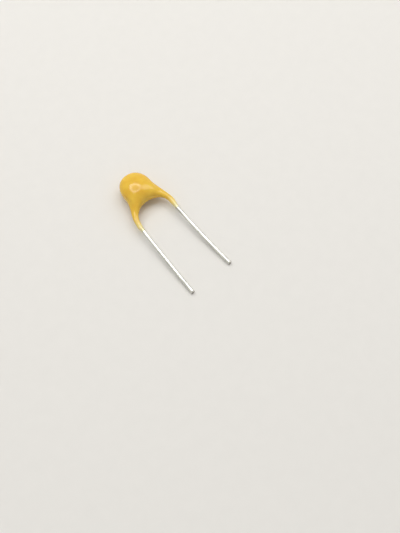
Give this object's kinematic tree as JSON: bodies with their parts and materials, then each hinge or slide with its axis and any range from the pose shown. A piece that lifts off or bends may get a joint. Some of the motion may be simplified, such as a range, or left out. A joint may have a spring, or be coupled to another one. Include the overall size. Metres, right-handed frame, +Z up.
{
  "type": "multilayer ceramic capacitor with radial leads",
  "caption": "Dipped radial multilayer ceramic capacitor: a small resin-coated chip with two parallel tinned wire leads, lying flat.",
  "frame": {"origin": "centre of the box that holds the part, on the surface that it lies on", "axes": "+Y from the lead tips to the crown of the coat, +X across the two leads, +Z up from the surface"},
  "size_m": [0.006, 0.0166, 0.0025],
  "materials": {
    "epoxy_coat": "glossy golden yellow dipped epoxy",
    "tinned_wire": "bright tin over copper wire",
    "fired_ceramic": "matt fired dielectric",
    "electrode_metal": "fired nickel",
    "cap_metal": "plated end cap",
    "solder_metal": "bright solder"
  },
  "bodies": {
    "root": {"coating": "epoxy_coat", "ceramic_body": "fired_ceramic", "electrodes_left": "electrode_metal", "electrodes_right": "electrode_metal", "termination_left": "cap_metal", "termination_right": "cap_metal", "solder_left": "solder_metal", "solder_right": "solder_metal", "lead_left": "tinned_wire", "lead_right": "tinned_wire"}
  },
  "joints": []
}
